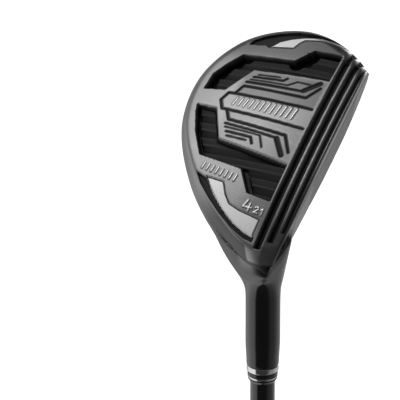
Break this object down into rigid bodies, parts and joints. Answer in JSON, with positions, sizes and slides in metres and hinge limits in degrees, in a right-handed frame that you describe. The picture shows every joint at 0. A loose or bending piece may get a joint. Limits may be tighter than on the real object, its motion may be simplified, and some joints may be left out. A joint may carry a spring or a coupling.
{
  "type": "hybrid golf club",
  "caption": "Hybrid golf club with a slotted, pocketed steel head, a two-ring ferrule, a tapered graphite shaft and a rubber grip.",
  "frame": {"origin": "centre of the grip's butt end, on the shaft's axis", "axes": "+Z along the shaft from the grip to the head, -Y toward the target (the way the face looks), +X on the toe's side"},
  "size_m": [0.1029, 0.0695, 1.0521],
  "materials": {
    "cast_steel": "satin bead-blasted cast stainless steel",
    "crown_paint": "gloss black paint over steel",
    "face_steel": "fine-milled satin steel with cut score lines",
    "panel_black": "satin black moulded rib panel",
    "inlay_silver": "bright satin silver",
    "ring_chrome": "polished bright ring",
    "ferrule_black": "gloss black",
    "shaft_black": "gloss black clear-coated graphite",
    "plug_brass": "plain brass",
    "tape_tan": "paper-backed adhesive tape",
    "grip_rubber": "matt moulded rubber with a fine tread"
  },
  "bodies": {
    "root": {"head_body": "cast_steel", "crown_shell": "crown_paint", "face_plate": "face_steel", "toe_pocket_panel": "panel_black", "heel_pocket_panel": "panel_black", "toe_inlay": "inlay_silver", "heel_inlay": "inlay_silver", "ferrule_wide_ring": "ring_chrome", "ferrule_band": "ferrule_black", "ferrule_thin_ring": "ring_chrome", "ferrule_taper": "ferrule_black", "shaft": "shaft_black", "tip_plug": "plug_brass", "grip_tape": "tape_tan", "grip_sleeve": "grip_rubber", "grip_cap": "grip_rubber"}
  },
  "joints": []
}
